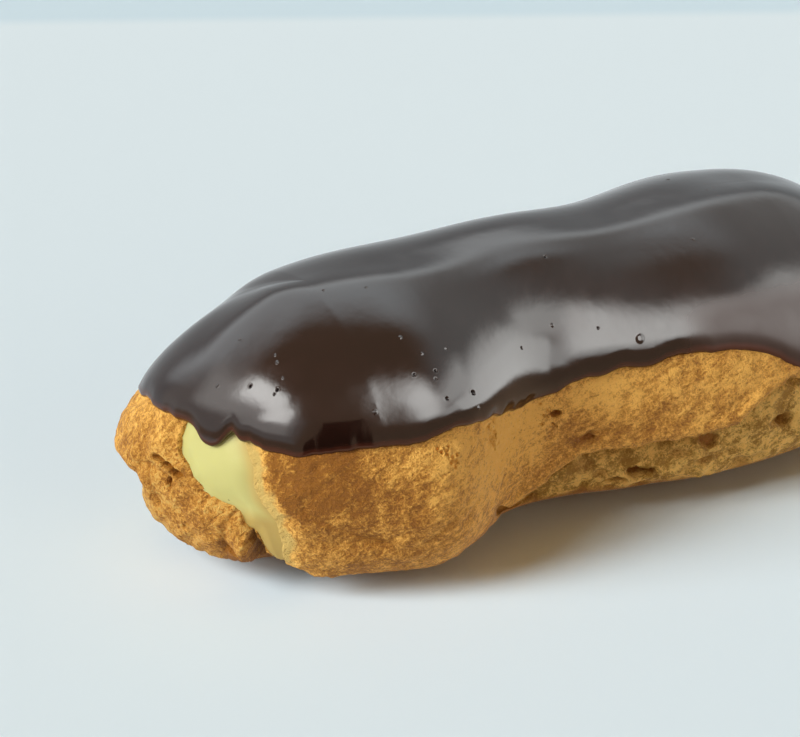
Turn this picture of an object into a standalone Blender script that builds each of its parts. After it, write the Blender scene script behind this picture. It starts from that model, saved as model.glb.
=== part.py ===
"""A filled chocolate eclair: choux shell, custard filling and chocolate glaze.

The eclair lies along X, with its burst end at -X, and stands on its flat
base at Z = 0. Every surface is worked out from one crust surface: a station
runs round the plan of the eclair, and a level runs from the crest down to
the base. The filling is the same surface inset, and the glaze the same
surface offset. All sizes are in metres.
"""

import bmesh
import bpy
import numpy as np
from mathutils import Vector

# Whole shell
LENGTH = 0.1290
HALF_WIDTH = 0.0220
CREST_HEIGHT = 0.0388
WIDEST_HEIGHT = 0.0160
END_RADIUS = 0.0250
SPINE_X = 0.00097
SPINE_Y = 0.0011
BASE_SINK = 0.0004

# Bluntness of the rounded forms: 2 is an ellipse, more is squarer
NEAR_END_BLUNTNESS = 2.3
FAR_END_BLUNTNESS = 2.5
CROWN_BLUNTNESS = 1.9
FOOT_BLUNTNESS = 2.8

# Bulges as (place along X, spread, extra size)
FRONT_BULGES = ((-0.0300, 0.0104, 0.0069), (-0.0100, 0.0130, -0.0032), (0.0276, 0.0186, 0.0049))
BACK_BULGES = ((-0.0394, 0.0170, 0.0028), (0.0044, 0.0160, -0.0014), (0.0340, 0.0130, 0.0043))
CREST_BULGES = ((-0.0308, 0.0200, 0.0035), (-0.0021, 0.0160, 0.0032), (0.0278, 0.0160, 0.0026))
BULGE_REACH = 0.0120
END_SLANT = 0.0032

# Swells of the side, as (station, spread, height, spread in height, size):
# the lobe over the tear at the back corner of the burst end, and the low crown above it
SWELLS = (
    (-0.0130, 0.0140, 0.0185, 0.0050, 0.0015),
    (-0.0230, 0.0170, 0.0340, 0.0080, -0.0019),
)

# The tear in each side, where the browned crust has lifted off the base:
# its lip waves as (station, spread, rise), and it opens over two stretches
LIP_HEIGHT = 0.0138
LIP_WAVES = (
    (-0.1150, 0.0150, 0.0030),
    (-0.0700, 0.0160, -0.0020),
    (-0.0120, 0.0160, 0.0026),
    (0.1160, 0.0110, 0.0056),
)
TEAR_STRETCHES = ((-0.1400, -0.0020), (0.0580, 0.1420))
TEAR_FADE = 0.0100
TEAR_DEPTH = 0.0028
LIP_DROP = 0.0015
TEAR_FOOT = 0.0040
FOOT_SHARE = 0.30

# The burst in the end: where it faces, and rows of (height, left, right)
BURST_ANGLE = np.radians(207.0)
BURST_ACROSS = -0.0180
BURST_ROWS = (
    (0.0065, 0.0066, 0.0076),
    (0.0090, 0.0060, 0.0086),
    (0.0120, 0.0052, 0.0092),
    (0.0145, 0.0034, 0.0092),
    (0.0163, 0.0015, 0.0076),
    (0.0185, -0.0032, 0.0054),
    (0.0210, -0.0065, 0.0045),
    (0.0240, -0.0094, 0.0031),
    (0.0270, -0.0086, 0.0005),
    (0.0290, -0.0070, -0.0015),
)
BURST_OUTSIDE = 0.0760
BURST_INSIDE = 0.0450
SHOULDER_DEPTH = 0.0018
SHOULDER_SPREAD = 0.0024

# Filling
WALL = 0.0075
GAP = 0.0003
FILLING_RECESS = 0.0009

# Glaze: its lower edge waves as (station, spread, rise) about one height
GLAZE_THICKNESS = 0.0021
THIN_SPOTS = ((-0.0240, 0.0140, -0.0011),)
EDGE_HEIGHT = 0.0258
EDGE_WAVES = (
    (-0.1120, 0.0080, 0.0012),
    (-0.0920, 0.0090, -0.0022),
    (-0.0720, 0.0080, 0.0014),
    (-0.0500, 0.0090, -0.0018),
    (-0.0260, 0.0075, 0.0055),
    (-0.0150, 0.0040, -0.0022),
    (0.0093, 0.0026, -0.0020),
    (0.0134, 0.0030, 0.0014),
    (0.0230, 0.0080, -0.0009),
    (0.0490, 0.0060, 0.0022),
    (0.0645, 0.0070, -0.0016),
    (0.0970, 0.0100, 0.0012),
    (0.1145, 0.0075, -0.0050),
)

# Fineness of the meshes
STATION_COUNT = 92
BURST_FINENESS = 0.6
GLAZE_ROWS = 6
BROWN_ROWS = 8
FOOT_ROWS = 7
RIM_ROWS = 3
RIM_LEVELS = 0.012
FILLING_STATIONS = 40
FILLING_ROWS = 10
WELD = 0.00001
NUDGE = 0.0005
CREST_LEVEL = 0.001
UP = np.array([0.0, 0.0, 1.0])

QUARTER = END_RADIUS * np.pi / 2
STRAIGHT = LENGTH - 2 * END_RADIUS
HALF_LOOP = 2 * QUARTER + STRAIGHT

# Name: colour, roughness
LOOKS = {
    "choux": ((0.50, 0.24, 0.075, 1.0), 0.75),
    "custard": ((0.72, 0.62, 0.22, 1.0), 0.40),
    "glaze": ((0.035, 0.020, 0.014, 1.0), 0.15),
}


def bump(place, centre, spread):
    """A smooth hill of height 1 at centre."""
    return np.exp(-(((place - centre) / spread) ** 2))


def ramp(value, start, end):
    """A smooth step from 0 at start to 1 at end."""
    share = np.clip((value - start) / (end - start), 0.0, 1.0)
    return share * share * (3.0 - 2.0 * share)


def hills(place, rows):
    """The sum of a table of (centre, spread, size) hills."""
    return sum(size * bump(place, centre, spread) for centre, spread, size in rows)


def plan_frame(station):
    """Place on the spine and outward direction at a station: 0 is the burst end, + is the front."""
    walk = np.abs(station)
    side = np.where(station < 0.0, -1.0, 1.0)
    spine_x = -STRAIGHT / 2 + np.clip(walk - QUARTER, 0.0, STRAIGHT)
    turned = np.minimum(walk, QUARTER) + np.maximum(walk - QUARTER - STRAIGHT, 0.0)
    angle = np.pi + side * turned / END_RADIUS
    return spine_x, np.cos(angle), np.sin(angle)


def reach(station):
    """Distance from the spine out to the widest line of the crust."""
    spine_x, dx, dy = plan_frame(station)
    place = spine_x + BULGE_REACH * dx
    front = HALF_WIDTH + hills(place, FRONT_BULGES)
    back = HALF_WIDTH + hills(place, BACK_BULGES)
    width = np.where(dy < 0.0, front, back)
    slant = np.where(dx < 0.0, 2.0 * END_SLANT * dy * np.abs(dx), 0.0)
    power = np.where(dx < 0.0, NEAR_END_BLUNTNESS, FAR_END_BLUNTNESS)
    share = (np.abs(dx) / (END_RADIUS + slant)) ** power + (np.abs(dy) / width) ** power
    return share ** (-1.0 / power)


def lip_height(station):
    """Height of the lip of the torn crust."""
    return LIP_HEIGHT + hills(station, LIP_WAVES)


def tear_relief(station, height):
    """Inward step of the torn sides: a lip over a recess, which comes back out at the foot."""
    strength = sum(
        ramp(station, start, start + TEAR_FADE) * (1.0 - ramp(station, end - TEAR_FADE, end))
        for start, end in TEAR_STRETCHES
    )
    lip = lip_height(station)
    under_lip = 1.0 - ramp(height, lip - LIP_DROP, lip)
    foot = FOOT_SHARE + (1.0 - FOOT_SHARE) * ramp(height, TEAR_FOOT, lip - LIP_DROP)
    return -TEAR_DEPTH * strength * under_lip * foot


def side_swell(station, height):
    """Outward size of the swells at a place on the side."""
    return sum(
        size * bump(station, place, spread) * bump(height, middle, tall)
        for place, spread, middle, tall, size in SWELLS
    )


def burst_shoulder(x, y, height):
    """Inward rounding of the crust towards both edges of the burst."""
    heights, left, right = np.transpose(BURST_ROWS)
    across = x * -np.sin(BURST_ANGLE) + y * np.cos(BURST_ANGLE) - BURST_ACROSS
    middle = np.interp(height, heights, (left + right) / 2)
    half = np.interp(height, heights, (right - left) / 2)
    outside = np.maximum(np.abs(across - middle) - half, 0.0)
    above = np.maximum(height - heights[-1], 0.0) + np.maximum(heights[0] - height, 0.0)
    facing = x * np.cos(BURST_ANGLE) + y * np.sin(BURST_ANGLE) > 0.0
    near = np.exp(-((np.hypot(outside, above) / SHOULDER_SPREAD) ** 2))
    return -SHOULDER_DEPTH * near * facing


def crust(station, level, inset=0.0, relief=True, burst=True):
    """Points of the crust surface, before the base is cut flat, as an array (..., 3)."""
    spine_x, dx, dy = plan_frame(station)
    slope = np.pi / 2 - np.pi * level
    rise = np.sin(slope)
    bluntness = np.where(rise > 0.0, CROWN_BLUNTNESS, FOOT_BLUNTNESS)
    share = np.abs(np.cos(slope)) ** (2.0 / bluntness)
    out = (reach(station) - inset) * share
    crest = CREST_HEIGHT + hills(spine_x + dx * out, CREST_BULGES)
    above = crest - inset - WIDEST_HEIGHT
    below = WIDEST_HEIGHT - inset + BASE_SINK
    height = WIDEST_HEIGHT + np.where(rise > 0.0, above, -below) * np.abs(rise) ** (2.0 / bluntness)
    if relief:
        out = out + side_swell(station, height) * share + tear_relief(station, height)
    if burst:
        out = out + share * burst_shoulder(spine_x + dx * out, dy * out, height)
    return np.stack([SPINE_X + spine_x + dx * out, SPINE_Y + dy * out, height], axis=-1)


def level_at(station, height):
    """Level at which the side of the crust has a height."""
    spine_x, dx, _ = plan_frame(station)
    crest = CREST_HEIGHT + hills(spine_x + dx * reach(station), CREST_BULGES)
    above = np.clip((height - WIDEST_HEIGHT) / (crest - WIDEST_HEIGHT), 0.0, 1.0)
    below = np.clip((WIDEST_HEIGHT - height) / (WIDEST_HEIGHT + BASE_SINK), 0.0, 1.0)
    upward = np.arcsin(above ** (CROWN_BLUNTNESS / 2.0))
    downward = np.arcsin(below ** (FOOT_BLUNTNESS / 2.0))
    return 0.5 + (downward - upward) / np.pi


def lifted(station, level, offset):
    """Points off the plain crust along its normal, which is straight up on the crest."""
    point = crust(station, level, burst=False)
    along = crust(station + NUDGE, level, burst=False) - crust(station - NUDGE, level, burst=False)
    down = crust(station, level + CREST_LEVEL, burst=False) - point
    normal = np.cross(down, along)
    size = np.linalg.norm(normal, axis=-1, keepdims=True)
    crest = (level < CREST_LEVEL)[..., None]
    normal = np.where(crest, UP, normal / np.where(crest, 1.0, size))
    return point + normal * np.broadcast_to(offset, station.shape)[..., None]


def stations(count):
    """Stations alike on both sides, so that the sides meet on the spine, and closer at the burst."""
    share = np.linspace(0.0, 1.0, count // 2 + 1)
    half = HALF_LOOP * (BURST_FINENESS * share + (1.0 - BURST_FINENESS) * share**2)
    return np.concatenate([half, -half[-2:0:-1]])


def spread(start, end, count):
    """Levels from start to end, without the first."""
    return [start + (end - start) * share for share in np.linspace(0.0, 1.0, count + 1)[1:]]


def new_object(name, mesh_builder):
    """Link a mesh object and shade it smooth."""
    mesh = bpy.data.meshes.new(name)
    bmesh.ops.recalc_face_normals(mesh_builder, faces=mesh_builder.faces)
    mesh_builder.to_mesh(mesh)
    mesh_builder.free()
    mesh.shade_smooth()
    item = bpy.data.objects.new(name, mesh)
    bpy.context.scene.collection.objects.link(item)
    return item


def skin(rows):
    """Closed mesh through rings of points, whose first and last rings fold shut on the spine."""
    built = bmesh.new()
    rings = [[built.verts.new(point) for point in row] for row in rows]
    for upper, lower in zip(rings, rings[1:]):
        for index in range(len(upper)):
            following = (index + 1) % len(upper)
            built.faces.new((upper[index], lower[index], lower[following], upper[following]))
    bmesh.ops.remove_doubles(built, verts=built.verts, dist=WELD)
    bmesh.ops.dissolve_degenerate(built, edges=built.edges, dist=WELD)
    return built


def cut_flat(built):
    """Cut the skin off at Z = 0 and close it with one flat face."""
    geometry = built.verts[:] + built.edges[:] + built.faces[:]
    base = Vector((0.0, 0.0, 0.0))
    up = Vector((0.0, 0.0, 1.0))
    cut = bmesh.ops.bisect_plane(built, geom=geometry, plane_co=base, plane_no=up, clear_inner=True)
    edges = [item for item in cut["geom_cut"] if isinstance(item, bmesh.types.BMEdge)]
    bmesh.ops.contextual_create(built, geom=edges)


def rim_level(station):
    """Level where the glaze starts to round off to its edge."""
    return level_at(station, EDGE_HEIGHT + hills(station, EDGE_WAVES)) - RIM_LEVELS


def make_choux():
    """Outer skin of the shell with its base cut flat, in step with the glaze and with the lip."""
    walk = stations(STATION_COUNT)
    rim = rim_level(walk)
    lip = level_at(walk, lip_height(walk))
    recess = level_at(walk, lip_height(walk) - LIP_DROP)
    levels = [np.zeros(walk.shape)] + spread(0.0, rim, GLAZE_ROWS) + spread(rim, lip, BROWN_ROWS)
    levels += [recess] + spread(recess, 1.0, FOOT_ROWS)
    built = skin([crust(walk, level) for level in levels])
    cut_flat(built)
    return new_object("choux", built)


def make_core(name, inset):
    """Rounded core that runs the length of the shell."""
    walk = stations(FILLING_STATIONS)
    levels = np.linspace(0.0, 1.0, FILLING_ROWS)
    rows = [crust(walk, np.full(walk.shape, level), inset, relief=False, burst=False) for level in levels]
    return new_object(name, skin(rows))


def make_burst(name, grow):
    """Prism with the outline of the burst, from inside the core to outside the crust."""
    rows = [(height, left - grow, right + grow) for height, left, right in BURST_ROWS]
    outline = [(right, height) for height, left, right in rows]
    outline += [(left, height) for height, left, right in reversed(rows)]
    outwards = Vector((np.cos(BURST_ANGLE), np.sin(BURST_ANGLE), 0.0))
    across = Vector((-np.sin(BURST_ANGLE), np.cos(BURST_ANGLE), 0.0))
    spine = Vector((SPINE_X, SPINE_Y, 0.0))
    built = bmesh.new()
    corners = []
    for side, height in outline:
        flat = spine + across * (side + BURST_ACROSS) + outwards * BURST_INSIDE
        corners.append(built.verts.new(flat + Vector((0.0, 0.0, height))))
    face = built.faces.new(corners)
    grown = bmesh.ops.extrude_face_region(built, geom=[face])
    moved = [item for item in grown["geom"] if isinstance(item, bmesh.types.BMVert)]
    bmesh.ops.translate(built, verts=moved, vec=outwards * (BURST_OUTSIDE - BURST_INSIDE))
    return new_object(name, built)


def make_plug_limit():
    """Body a little inside the crust, where the filling stops in the burst."""
    walk = stations(FILLING_STATIONS * 2)
    levels = np.linspace(0.0, 1.0, FILLING_ROWS * 2)
    rows = [crust(walk, np.full(walk.shape, level), FILLING_RECESS, burst=False) for level in levels]
    return new_object("plug limit", skin(rows))


def make_glaze():
    """Cap of even thickness with a rounded, wavy lower edge."""
    walk = stations(STATION_COUNT)
    rim = rim_level(walk)
    levels = [np.zeros(walk.shape)] + spread(0.0, rim, GLAZE_ROWS)
    thinning = hills(walk, THIN_SPOTS)
    half = (GLAZE_THICKNESS + thinning) / 2
    rows = [lifted(walk, level, GAP + GLAZE_THICKNESS + thinning * level / rim) for level in levels]
    for turn in np.linspace(np.pi / 2, -np.pi / 2, RIM_ROWS + 2)[1:-1]:
        rows.append(lifted(walk, rim + RIM_LEVELS * np.cos(turn), GAP + half + half * np.sin(turn)))
    rows += [lifted(walk, level, GAP) for level in reversed(levels)]
    return new_object("glaze", skin(rows))


def use_boolean(item, cutter, operation):
    """Add an exact Boolean, and leave the cutter out of the build."""
    modifier = item.modifiers.new(operation.lower() + " " + cutter.name, "BOOLEAN")
    modifier.operation = operation
    modifier.solver = "EXACT"
    modifier.object = cutter
    cutter.hide_render = True
    cutter.display_type = "WIRE"


def paint(item):
    """Give a sub-part its own Principled material."""
    colour, roughness = LOOKS[item.name]
    material = bpy.data.materials.new(item.name)
    material.use_nodes = True
    shader = material.node_tree.nodes["Principled BSDF"]
    shader.inputs["Base Color"].default_value = colour
    shader.inputs["Roughness"].default_value = roughness
    item.data.materials.append(material)


def main():
    """Build the eclair."""
    for item in list(bpy.data.objects):
        bpy.data.objects.remove(item)
    choux = make_choux()
    use_boolean(choux, make_core("core room", WALL - GAP), "DIFFERENCE")
    use_boolean(choux, make_burst("burst room", GAP), "DIFFERENCE")
    custard = make_burst("custard", 0.0)
    use_boolean(custard, make_plug_limit(), "INTERSECT")
    use_boolean(custard, make_core("core", WALL), "UNION")
    glaze = make_glaze()
    for item in (choux, custard, glaze):
        paint(item)


main()
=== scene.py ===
"""Looks of the chocolate eclair: crust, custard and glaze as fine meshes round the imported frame.

The crust surface is worked out in the same way as that of the solids, with
some values of its own: a station runs round the plan of the eclair, 0 at the
burst end and + along the front, and a level runs from the crest down to the
base. All sizes are in metres.
"""

import bmesh
import bpy
import numpy as np
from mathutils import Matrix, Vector


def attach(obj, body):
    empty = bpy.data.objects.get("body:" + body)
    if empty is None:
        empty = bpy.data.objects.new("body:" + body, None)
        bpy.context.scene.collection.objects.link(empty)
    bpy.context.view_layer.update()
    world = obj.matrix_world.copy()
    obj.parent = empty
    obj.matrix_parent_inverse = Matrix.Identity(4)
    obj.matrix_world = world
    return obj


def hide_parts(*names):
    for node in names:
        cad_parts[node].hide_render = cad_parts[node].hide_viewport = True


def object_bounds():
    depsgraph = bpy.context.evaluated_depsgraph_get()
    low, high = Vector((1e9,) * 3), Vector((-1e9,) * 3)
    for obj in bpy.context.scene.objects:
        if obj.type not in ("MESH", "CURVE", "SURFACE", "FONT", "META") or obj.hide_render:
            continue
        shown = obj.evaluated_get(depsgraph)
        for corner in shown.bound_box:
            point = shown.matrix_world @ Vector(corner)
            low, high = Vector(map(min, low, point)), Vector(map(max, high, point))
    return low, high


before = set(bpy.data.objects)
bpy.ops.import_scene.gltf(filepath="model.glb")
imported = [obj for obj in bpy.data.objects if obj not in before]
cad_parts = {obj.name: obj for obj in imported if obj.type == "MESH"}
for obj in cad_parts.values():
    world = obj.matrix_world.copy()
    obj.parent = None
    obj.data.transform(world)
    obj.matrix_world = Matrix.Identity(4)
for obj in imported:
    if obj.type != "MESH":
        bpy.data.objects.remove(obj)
CAD_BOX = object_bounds()

# Whole shell, repeated from the solids except for SWELLS, SEAMS, LIP_WAVES, TEAR_FOOT, BURST_FRONT,
# EDGE_HEIGHT, EDGE_WAVES, BROAD_WAVES and WELD. The sizes, bluntnesses, slant and bulges are rounded results
# of a separate fitting program, and the waves were written from another program's output. They weren't
# chosen by design.
LENGTH = 0.1290
HALF_WIDTH = 0.0220
CREST_HEIGHT = 0.0388
WIDEST_HEIGHT = 0.0160
END_RADIUS = 0.0250
SPINE_X = 0.00097
SPINE_Y = 0.0011
BASE_SINK = 0.0004
NEAR_END_BLUNTNESS = 2.3
FAR_END_BLUNTNESS = 2.5
CROWN_BLUNTNESS = 1.9
FOOT_BLUNTNESS = 2.8
FRONT_BULGES = ((-0.0300, 0.0104, 0.0069), (-0.0100, 0.0130, -0.0032), (0.0276, 0.0186, 0.0049))
BACK_BULGES = ((-0.0394, 0.0170, 0.0028), (0.0044, 0.0160, -0.0014), (0.0340, 0.0130, 0.0043))
CREST_BULGES = ((-0.0308, 0.0200, 0.0035), (-0.0021, 0.0160, 0.0032), (0.0278, 0.0160, 0.0026))
BULGE_REACH = 0.0120
END_SLANT = 0.0032
SWELLS = (
    (-0.0130, 0.0140, 0.0185, 0.0050, 0.0015),
    (-0.0230, 0.0170, 0.0340, 0.0080, -0.0019),
    (0.0610, 0.0085, 0.0325, 0.0070, 0.0024),
)
SEAMS = ((0.0393, 0.0120, 0.00088), (0.1183, 0.0120, 0.00035))
LIP_HEIGHT = 0.0138
LIP_WAVES = (
    (-0.1150, 0.0150, 0.0030),
    (-0.0700, 0.0160, -0.0020),
    (-0.0120, 0.0160, 0.0026),
    (0.0650, 0.0070, -0.0062),
    (0.1120, 0.0110, 0.0072),
)
TEAR_STRETCHES = ((-0.1400, -0.0020), (0.0580, 0.1420))
TEAR_FADE = 0.0100
TEAR_DEPTH = 0.0028
LIP_DROP = 0.0015
TEAR_FOOT = 0.0048
FOOT_SHARE = 0.30
BURST_ANGLE = np.radians(207.0)
BURST_ACROSS = -0.0180
BURST_FRONT = 0.0400
SHOULDER_DEPTH = 0.0018
WALL = 0.0075
GAP = 0.0003
GLAZE_THICKNESS = 0.0021
THIN_SPOTS = ((-0.0240, 0.0140, -0.0011),)
EDGE_HEIGHT = 0.0262
EDGE_WAVES = (
    (-0.1120, 0.0080, 0.0012),
    (-0.0920, 0.0090, -0.0022),
    (-0.0720, 0.0080, 0.0014),
    (-0.0500, 0.0090, -0.0018),
    (-0.0350, 0.0060, 0.0010),
    (-0.0260, 0.0075, 0.0055),
    (-0.0150, 0.0040, -0.0022),
    (0.0082, 0.0032, -0.0018),
    (0.0120, 0.0016, 0.0013),
    (0.0156, 0.0020, 0.0004),
    (0.0230, 0.0080, -0.0009),
    (0.0490, 0.0060, 0.0014),
    (0.0645, 0.0070, -0.0016),
    (0.0715, 0.0060, -0.0010),
    (0.0970, 0.0100, 0.0010),
    (0.1145, 0.0075, -0.0050),
)
BROAD_WAVES = (
    (-0.1120, 0.0080, 0.0012),
    (-0.0920, 0.0090, -0.0022),
    (-0.0720, 0.0080, 0.0014),
    (-0.0260, 0.0075, 0.0040),
    (0.0490, 0.0080, 0.0012),
    (0.0645, 0.0090, -0.0014),
    (0.0715, 0.0080, -0.0009),
    (0.0970, 0.0100, 0.0012),
    (0.1145, 0.0085, -0.0045),
)
WELD = 0.000001
NUDGE = 0.0005
CREST_LEVEL = 0.001
UP = np.array([0.0, 0.0, 1.0])

QUARTER = END_RADIUS * np.pi / 2
STRAIGHT = LENGTH - 2 * END_RADIUS
HALF_LOOP = 2 * QUARTER + STRAIGHT


# ---------------------------------------------------------------- curves and noise


def bump(place, centre, spread):
    """A smooth hill of height 1 at centre."""
    return np.exp(-(((place - centre) / spread) ** 2))


def ramp(value, start, end):
    """A smooth step from 0 at start to 1 at end."""
    share = np.clip((value - start) / (end - start), 0.0, 1.0)
    return share * share * (3.0 - 2.0 * share)


def hills(place, rows):
    """The sum of a table of (centre, spread, size) hills."""
    return sum(size * bump(place, centre, spread) for centre, spread, size in rows)


def scatter(cell, seed):
    """A repeatable random number in 0..1 for each whole-numbered cell (..., 3)."""
    mixed = cell.astype(np.int64)
    value = mixed[..., 0] * 73856093 ^ mixed[..., 1] * 19349663 ^ mixed[..., 2] * 83492791 ^ seed * 2654435761
    value = (value ^ (value >> 13)) * 1274126177
    value = (value ^ (value >> 16)) & 0xFFFFFF
    return value / float(0xFFFFFF)


def noise(points, size, seed):
    """Smooth noise in -1..1 with features of a size."""
    place = points / size
    cell = np.floor(place)
    share = place - cell
    share = share * share * (3.0 - 2.0 * share)
    total = 0.0
    for corner in np.ndindex(2, 2, 2):
        weight = np.prod(np.where(np.array(corner) == 1, share, 1.0 - share), axis=-1)
        total = total + weight * scatter(cell + np.array(corner), seed)
    return total * 2.0 - 1.0


def fractal(points, size, octaves, seed):
    """Noise summed over octaves, each half the size and half the strength."""
    return sum(noise(points, size / 2**step, seed + step) / 2**step for step in range(octaves))


def pores(points, size, seed, share=1.0):
    """Depth 0..1 of round pits of mixed width, with a share of the cells holding one."""
    place = points / size
    cell = np.floor(place)
    deepest = np.zeros(points.shape[:-1])
    for corner in np.ndindex(3, 3, 3):
        near = cell + np.array(corner) - 1.0
        centre = near + np.stack([scatter(near, seed + axis) for axis in range(3)], axis=-1)
        width = 0.25 + 0.35 * scatter(near, seed + 3)
        held = scatter(near, seed + 4) < share
        distance = np.linalg.norm(place - centre, axis=-1) / width
        deepest = np.maximum(deepest, np.where(held, np.clip(1.0 - distance**2, 0.0, 1.0), 0.0))
    return deepest


# ---------------------------------------------------------------- the crust surface


def plan_frame(station):
    """Place on the spine and outward direction at a station."""
    walk = np.abs(station)
    side = np.where(station < 0.0, -1.0, 1.0)
    spine_x = -STRAIGHT / 2 + np.clip(walk - QUARTER, 0.0, STRAIGHT)
    turned = np.minimum(walk, QUARTER) + np.maximum(walk - QUARTER - STRAIGHT, 0.0)
    angle = np.pi + side * turned / END_RADIUS
    return spine_x, np.cos(angle), np.sin(angle)


def reach(station):
    """Distance from the spine out to the widest line of the crust."""
    spine_x, dx, dy = plan_frame(station)
    place = spine_x + BULGE_REACH * dx
    front = HALF_WIDTH + hills(place, FRONT_BULGES)
    back = HALF_WIDTH + hills(place, BACK_BULGES)
    width = np.where(dy < 0.0, front, back)
    slant = np.where(dx < 0.0, 2.0 * END_SLANT * dy * np.abs(dx), 0.0)
    power = np.where(dx < 0.0, NEAR_END_BLUNTNESS, FAR_END_BLUNTNESS)
    share = (np.abs(dx) / (END_RADIUS + slant)) ** power + (np.abs(dy) / width) ** power
    return share ** (-1.0 / power)


def lip_height(station):
    """Height of the lip of the torn crust."""
    return LIP_HEIGHT + hills(station, LIP_WAVES)


def tear_strength(station):
    """How far the side is torn open at a station, 0..1."""
    return sum(
        ramp(station, start, start + TEAR_FADE) * (1.0 - ramp(station, end - TEAR_FADE, end))
        for start, end in TEAR_STRETCHES
    )


def tear_relief(station, height, lip):
    """Inward step of the torn sides: a lip over a recess, which comes back out at the foot."""
    under_lip = 1.0 - ramp(height, lip - LIP_DROP, lip)
    foot = FOOT_SHARE + (1.0 - FOOT_SHARE) * ramp(height, TEAR_FOOT, lip - LIP_DROP)
    return -TEAR_DEPTH * tear_strength(station) * under_lip * foot


def side_swell(station, height):
    """Outward size of the swells at a place on the side, and of the fills where the ends meet the front."""
    fill = sum(
        size * np.maximum(1.0 - np.abs(station - place) / wide, 0.0) ** 2
        for place, wide, size in SEAMS
    )
    return fill + sum(
        size * bump(station, place, spread) * bump(height, middle, tall)
        for place, spread, middle, tall, size in SWELLS
    )


def crust(station, level, inset=0.0, relief=True, lip=None):
    """Points of the crust surface without its burst, as an array (..., 3)."""
    spine_x, dx, dy = plan_frame(station)
    slope = np.pi / 2 - np.pi * level
    rise = np.sin(slope)
    bluntness = np.where(rise > 0.0, CROWN_BLUNTNESS, FOOT_BLUNTNESS)
    share = np.abs(np.cos(slope)) ** (2.0 / bluntness)
    out = (reach(station) - inset) * share
    crest = CREST_HEIGHT + hills(spine_x + dx * out, CREST_BULGES)
    above = crest - inset - WIDEST_HEIGHT
    below = WIDEST_HEIGHT - inset + BASE_SINK
    height = WIDEST_HEIGHT + np.where(rise > 0.0, above, -below) * np.abs(rise) ** (2.0 / bluntness)
    if relief:
        line = lip_height(station) if lip is None else lip
        out = out + side_swell(station, height) * share + tear_relief(station, height, line)
    return np.stack([SPINE_X + spine_x + dx * out, SPINE_Y + dy * out, height], axis=-1)


def level_at(station, height):
    """Level at which the side of the crust has a height."""
    spine_x, dx, _ = plan_frame(station)
    crest = CREST_HEIGHT + hills(spine_x + dx * reach(station), CREST_BULGES)
    above = np.clip((height - WIDEST_HEIGHT) / (crest - WIDEST_HEIGHT), 0.0, 1.0)
    below = np.clip((WIDEST_HEIGHT - height) / (WIDEST_HEIGHT + BASE_SINK), 0.0, 1.0)
    upward = np.arcsin(above ** (CROWN_BLUNTNESS / 2.0))
    downward = np.arcsin(below ** (FOOT_BLUNTNESS / 2.0))
    return 0.5 + (downward - upward) / np.pi


def normals(station, level):
    """Outward unit normals of the plain crust, straight up on the crest."""
    point = crust(station, level)
    along = crust(station + NUDGE, level) - crust(station - NUDGE, level)
    down = crust(station, level + CREST_LEVEL) - point
    normal = np.cross(down, along)
    size = np.linalg.norm(normal, axis=-1, keepdims=True)
    crest = (level < CREST_LEVEL)[..., None]
    return np.where(crest, UP, normal / np.where(crest, 1.0, size))


# ---------------------------------------------------------------- mesh making


def stations(spacing):
    """Stations round the loop, whose spacing may change along it."""
    even = np.linspace(-HALF_LOOP, HALF_LOOP, 4001)
    steps = 1.0 / spacing(even)
    passed = np.concatenate([[0.0], np.cumsum((steps[1:] + steps[:-1]) / 2 * np.diff(even))])
    count = 2 * int(round(passed[-1] / 2))
    return np.interp(np.arange(count) * passed[-1] / count, passed, even)


def spread(start, end, count):
    """Rows of levels from start to end, without the first."""
    return [start + (end - start) * share for share in np.linspace(0.0, 1.0, count + 1)[1:]]


def sheet_of(rows, walk, rims=None):
    """Rings of quads in (station, level, rim), kept in vertex layers so that any point can be placed."""
    built = bmesh.new()
    station_layer = built.verts.layers.float.new("station")
    level_layer = built.verts.layers.float.new("level")
    rim_layer = built.verts.layers.float.new("rim")
    rings = []
    for number, row in enumerate(rows):
        ring = []
        for station, level in zip(walk, row):
            vert = built.verts.new((station, level, number * 0.001))
            vert[station_layer] = station
            vert[level_layer] = level
            vert[rim_layer] = 0.0 if rims is None else rims[number]
            ring.append(vert)
        rings.append(ring)
    for upper, lower in zip(rings, rings[1:]):
        for index in range(len(walk)):
            following = (index + 1) % len(walk)
            built.faces.new((upper[index], lower[index], lower[following], upper[following]))
    return built, rings


def read_layer(built, name):
    """Values of a vertex layer as an array."""
    layer = built.verts.layers.float[name]
    return np.array([vert[layer] for vert in built.verts])


def refine(built, wanted, cuts):
    """Divide the edges of the faces whose middle is wanted, given a test on (station, level) arrays."""
    built.verts.index_update()
    station = read_layer(built, "station")
    level = read_layer(built, "level")
    corners = [[vert.index for vert in face.verts] for face in built.faces]
    middle = np.array([[station[face].mean(), level[face].mean(), np.ptp(station[face])] for face in corners])
    chosen = wanted(middle[:, 0], middle[:, 1]) & (middle[:, 2] < 0.01)
    faces = [face for face, take in zip(built.faces, chosen) if take]
    edges = list({edge for face in faces for edge in face.edges})
    bmesh.ops.subdivide_edges(built, edges=edges, cuts=cuts, use_grid_fill=True)


def place(built, points, marks=None):
    """Move every vertex of the sheet to its point, and keep its marks in vertex layers."""
    for vert, point in zip(built.verts, points.tolist()):
        vert.co = point
    for label, values in (marks or {}).items():
        layer = built.verts.layers.float.new(label)
        for vert, value in zip(built.verts, values.tolist()):
            vert[layer] = value


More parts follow.
